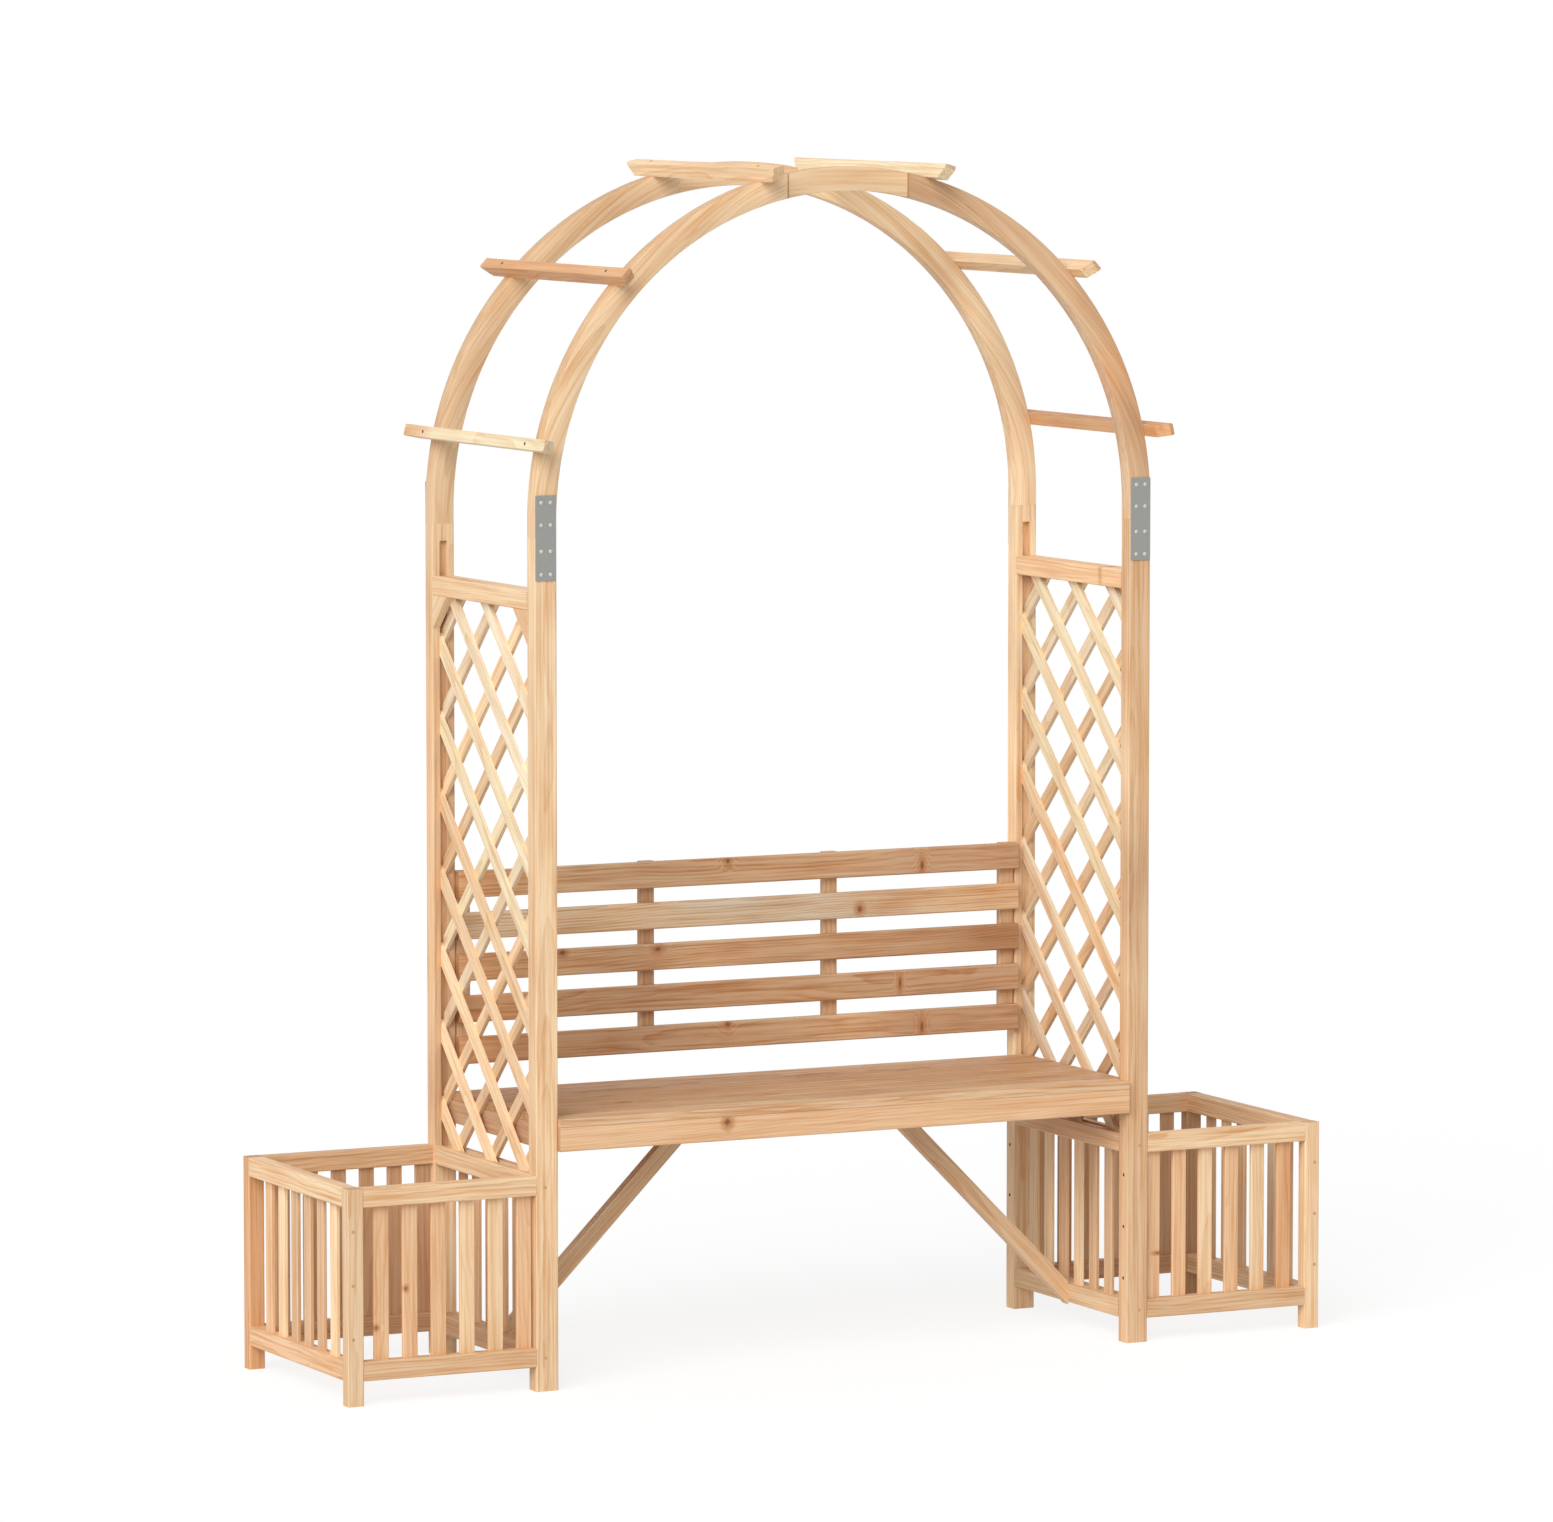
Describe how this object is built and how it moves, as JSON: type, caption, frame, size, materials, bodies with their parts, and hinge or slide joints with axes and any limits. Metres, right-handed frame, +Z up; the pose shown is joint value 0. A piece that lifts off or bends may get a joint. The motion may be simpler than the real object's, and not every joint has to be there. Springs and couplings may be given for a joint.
{
  "type": "garden arbour seat",
  "caption": "Garden arbour seat: an arched timber arbour with trellis sides, a slatted bench with a backrest between them, and an open slatted planter at each side.",
  "frame": {"origin": "on the ground at the middle of the footprint", "axes": "+Z up, +Y from the open front towards the backrest, +X to the right of a viewer who faces the front"},
  "size_m": [1.826, 0.562, 2.0175],
  "materials": {
    "timber_upright": "planed softwood, pale orange preservative stain",
    "timber_rail": "planed softwood, pale orange preservative stain",
    "timber_arch": "sawn and sanded softwood, pale orange stain",
    "timber_slat": "planed softwood slats, pale orange stain",
    "timber_trellis": "sawn softwood laths, pale orange stain",
    "timber_seat": "planed softwood, lightly sun-bleached",
    "zinc_plate": "dull galvanised sheet"
  },
  "bodies": {
    "root": {"arch_front_crown": "timber_arch", "arch_front_left": "timber_arch", "arch_front_right": "timber_arch", "arch_rear_crown": "timber_arch", "arch_rear_left": "timber_arch", "arch_rear_right": "timber_arch", "back_battens": "timber_rail", "back_slat_1": "timber_seat", "back_slat_2": "timber_seat", "back_slat_3": "timber_seat", "back_slat_4": "timber_seat", "back_slat_5": "timber_seat", "brace_left": "timber_rail", "brace_right": "timber_rail", "corner_gussets": "timber_trellis", "low_rail_left": "timber_rail", "low_rail_right": "timber_rail", "middle_rail_left": "timber_rail", "middle_rail_right": "timber_rail", "planter_post_front_left": "timber_upright", "planter_post_front_right": "timber_upright", "planter_post_rear_left": "timber_upright", "planter_post_rear_right": "timber_upright", "planter_rails_bottom_left": "timber_rail", "planter_rails_bottom_right": "timber_rail", "planter_rails_top_left": "timber_rail", "planter_rails_top_right": "timber_rail", "planter_slats_front_left": "timber_slat", "planter_slats_front_right": "timber_slat", "planter_slats_rear_left": "timber_slat", "planter_slats_rear_right": "timber_slat", "planter_slats_side_left": "timber_slat", "planter_slats_side_right": "timber_slat", "post_front_left": "timber_upright", "post_front_right": "timber_upright", "post_rear_left": "timber_upright", "post_rear_right": "timber_upright", "purlin_low_left": "timber_arch", "purlin_low_right": "timber_arch", "purlin_mid_left": "timber_arch", "purlin_mid_right": "timber_arch", "purlin_top_left": "timber_arch", "purlin_top_right": "timber_arch", "seat_bearers": "timber_rail", "seat_boards": "timber_seat", "seat_front_rail": "timber_rail", "seat_rear_rail": "timber_rail", "splice_plates": "zinc_plate", "top_rail_left": "timber_rail", "top_rail_right": "timber_rail", "trellis_falling_left": "timber_trellis", "trellis_falling_right": "timber_trellis", "trellis_rising_left": "timber_trellis", "trellis_rising_right": "timber_trellis", "wall_slats_left": "timber_slat", "wall_slats_right": "timber_slat"}
  },
  "joints": []
}
